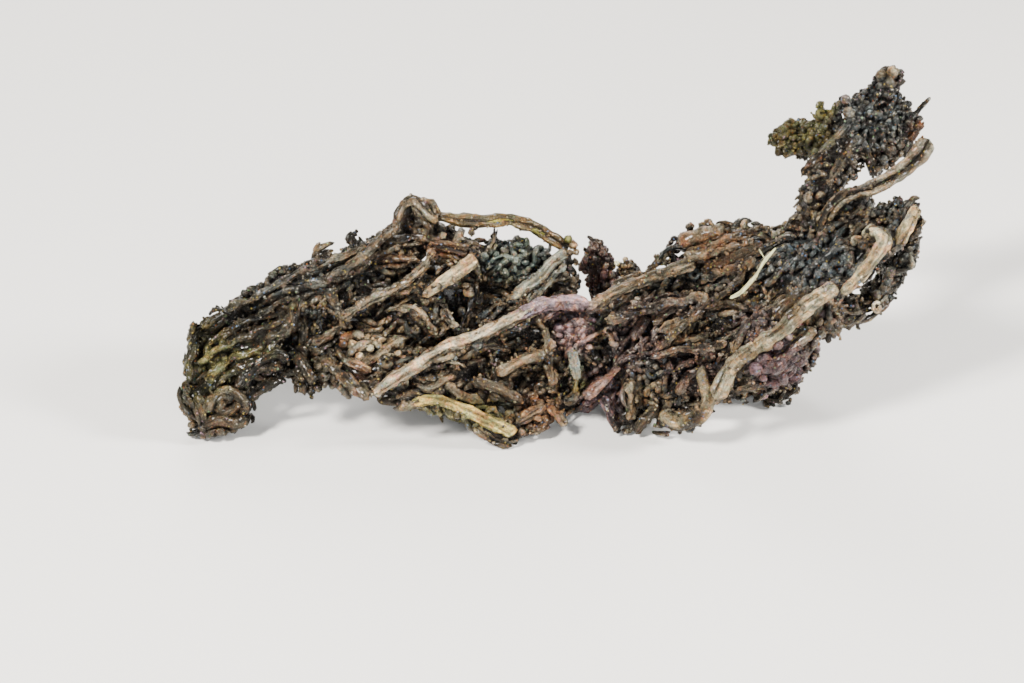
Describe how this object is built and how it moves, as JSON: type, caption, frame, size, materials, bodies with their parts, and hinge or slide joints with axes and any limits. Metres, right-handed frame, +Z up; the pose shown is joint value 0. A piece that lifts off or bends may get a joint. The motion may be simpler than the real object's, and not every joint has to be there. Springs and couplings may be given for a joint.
{
  "type": "native copper specimen",
  "caption": "Branching native copper specimen lying on its side: a fan of fused ribs, wires and knobs, narrowed in the middle, with a knobbly tower rising at one end.",
  "frame": {"origin": "on the floor under the middle of the specimen's bounding box", "axes": "+X along the specimen's length towards the tower, +Y away from the viewer of the picture, +Z up"},
  "size_m": [0.0749, 0.0257, 0.0318],
  "materials": {
    "copper": "tarnished brown copper, satin, with grey-blue, violet and olive patches",
    "fibre": "dry plant fibre, matt straw colour"
  },
  "bodies": {
    "root": {"left_lobe": "copper", "right_lobe": "copper", "tower": "copper", "arch_wire": "copper", "swept_wire": "copper", "plant_fibre": "fibre"}
  },
  "joints": []
}
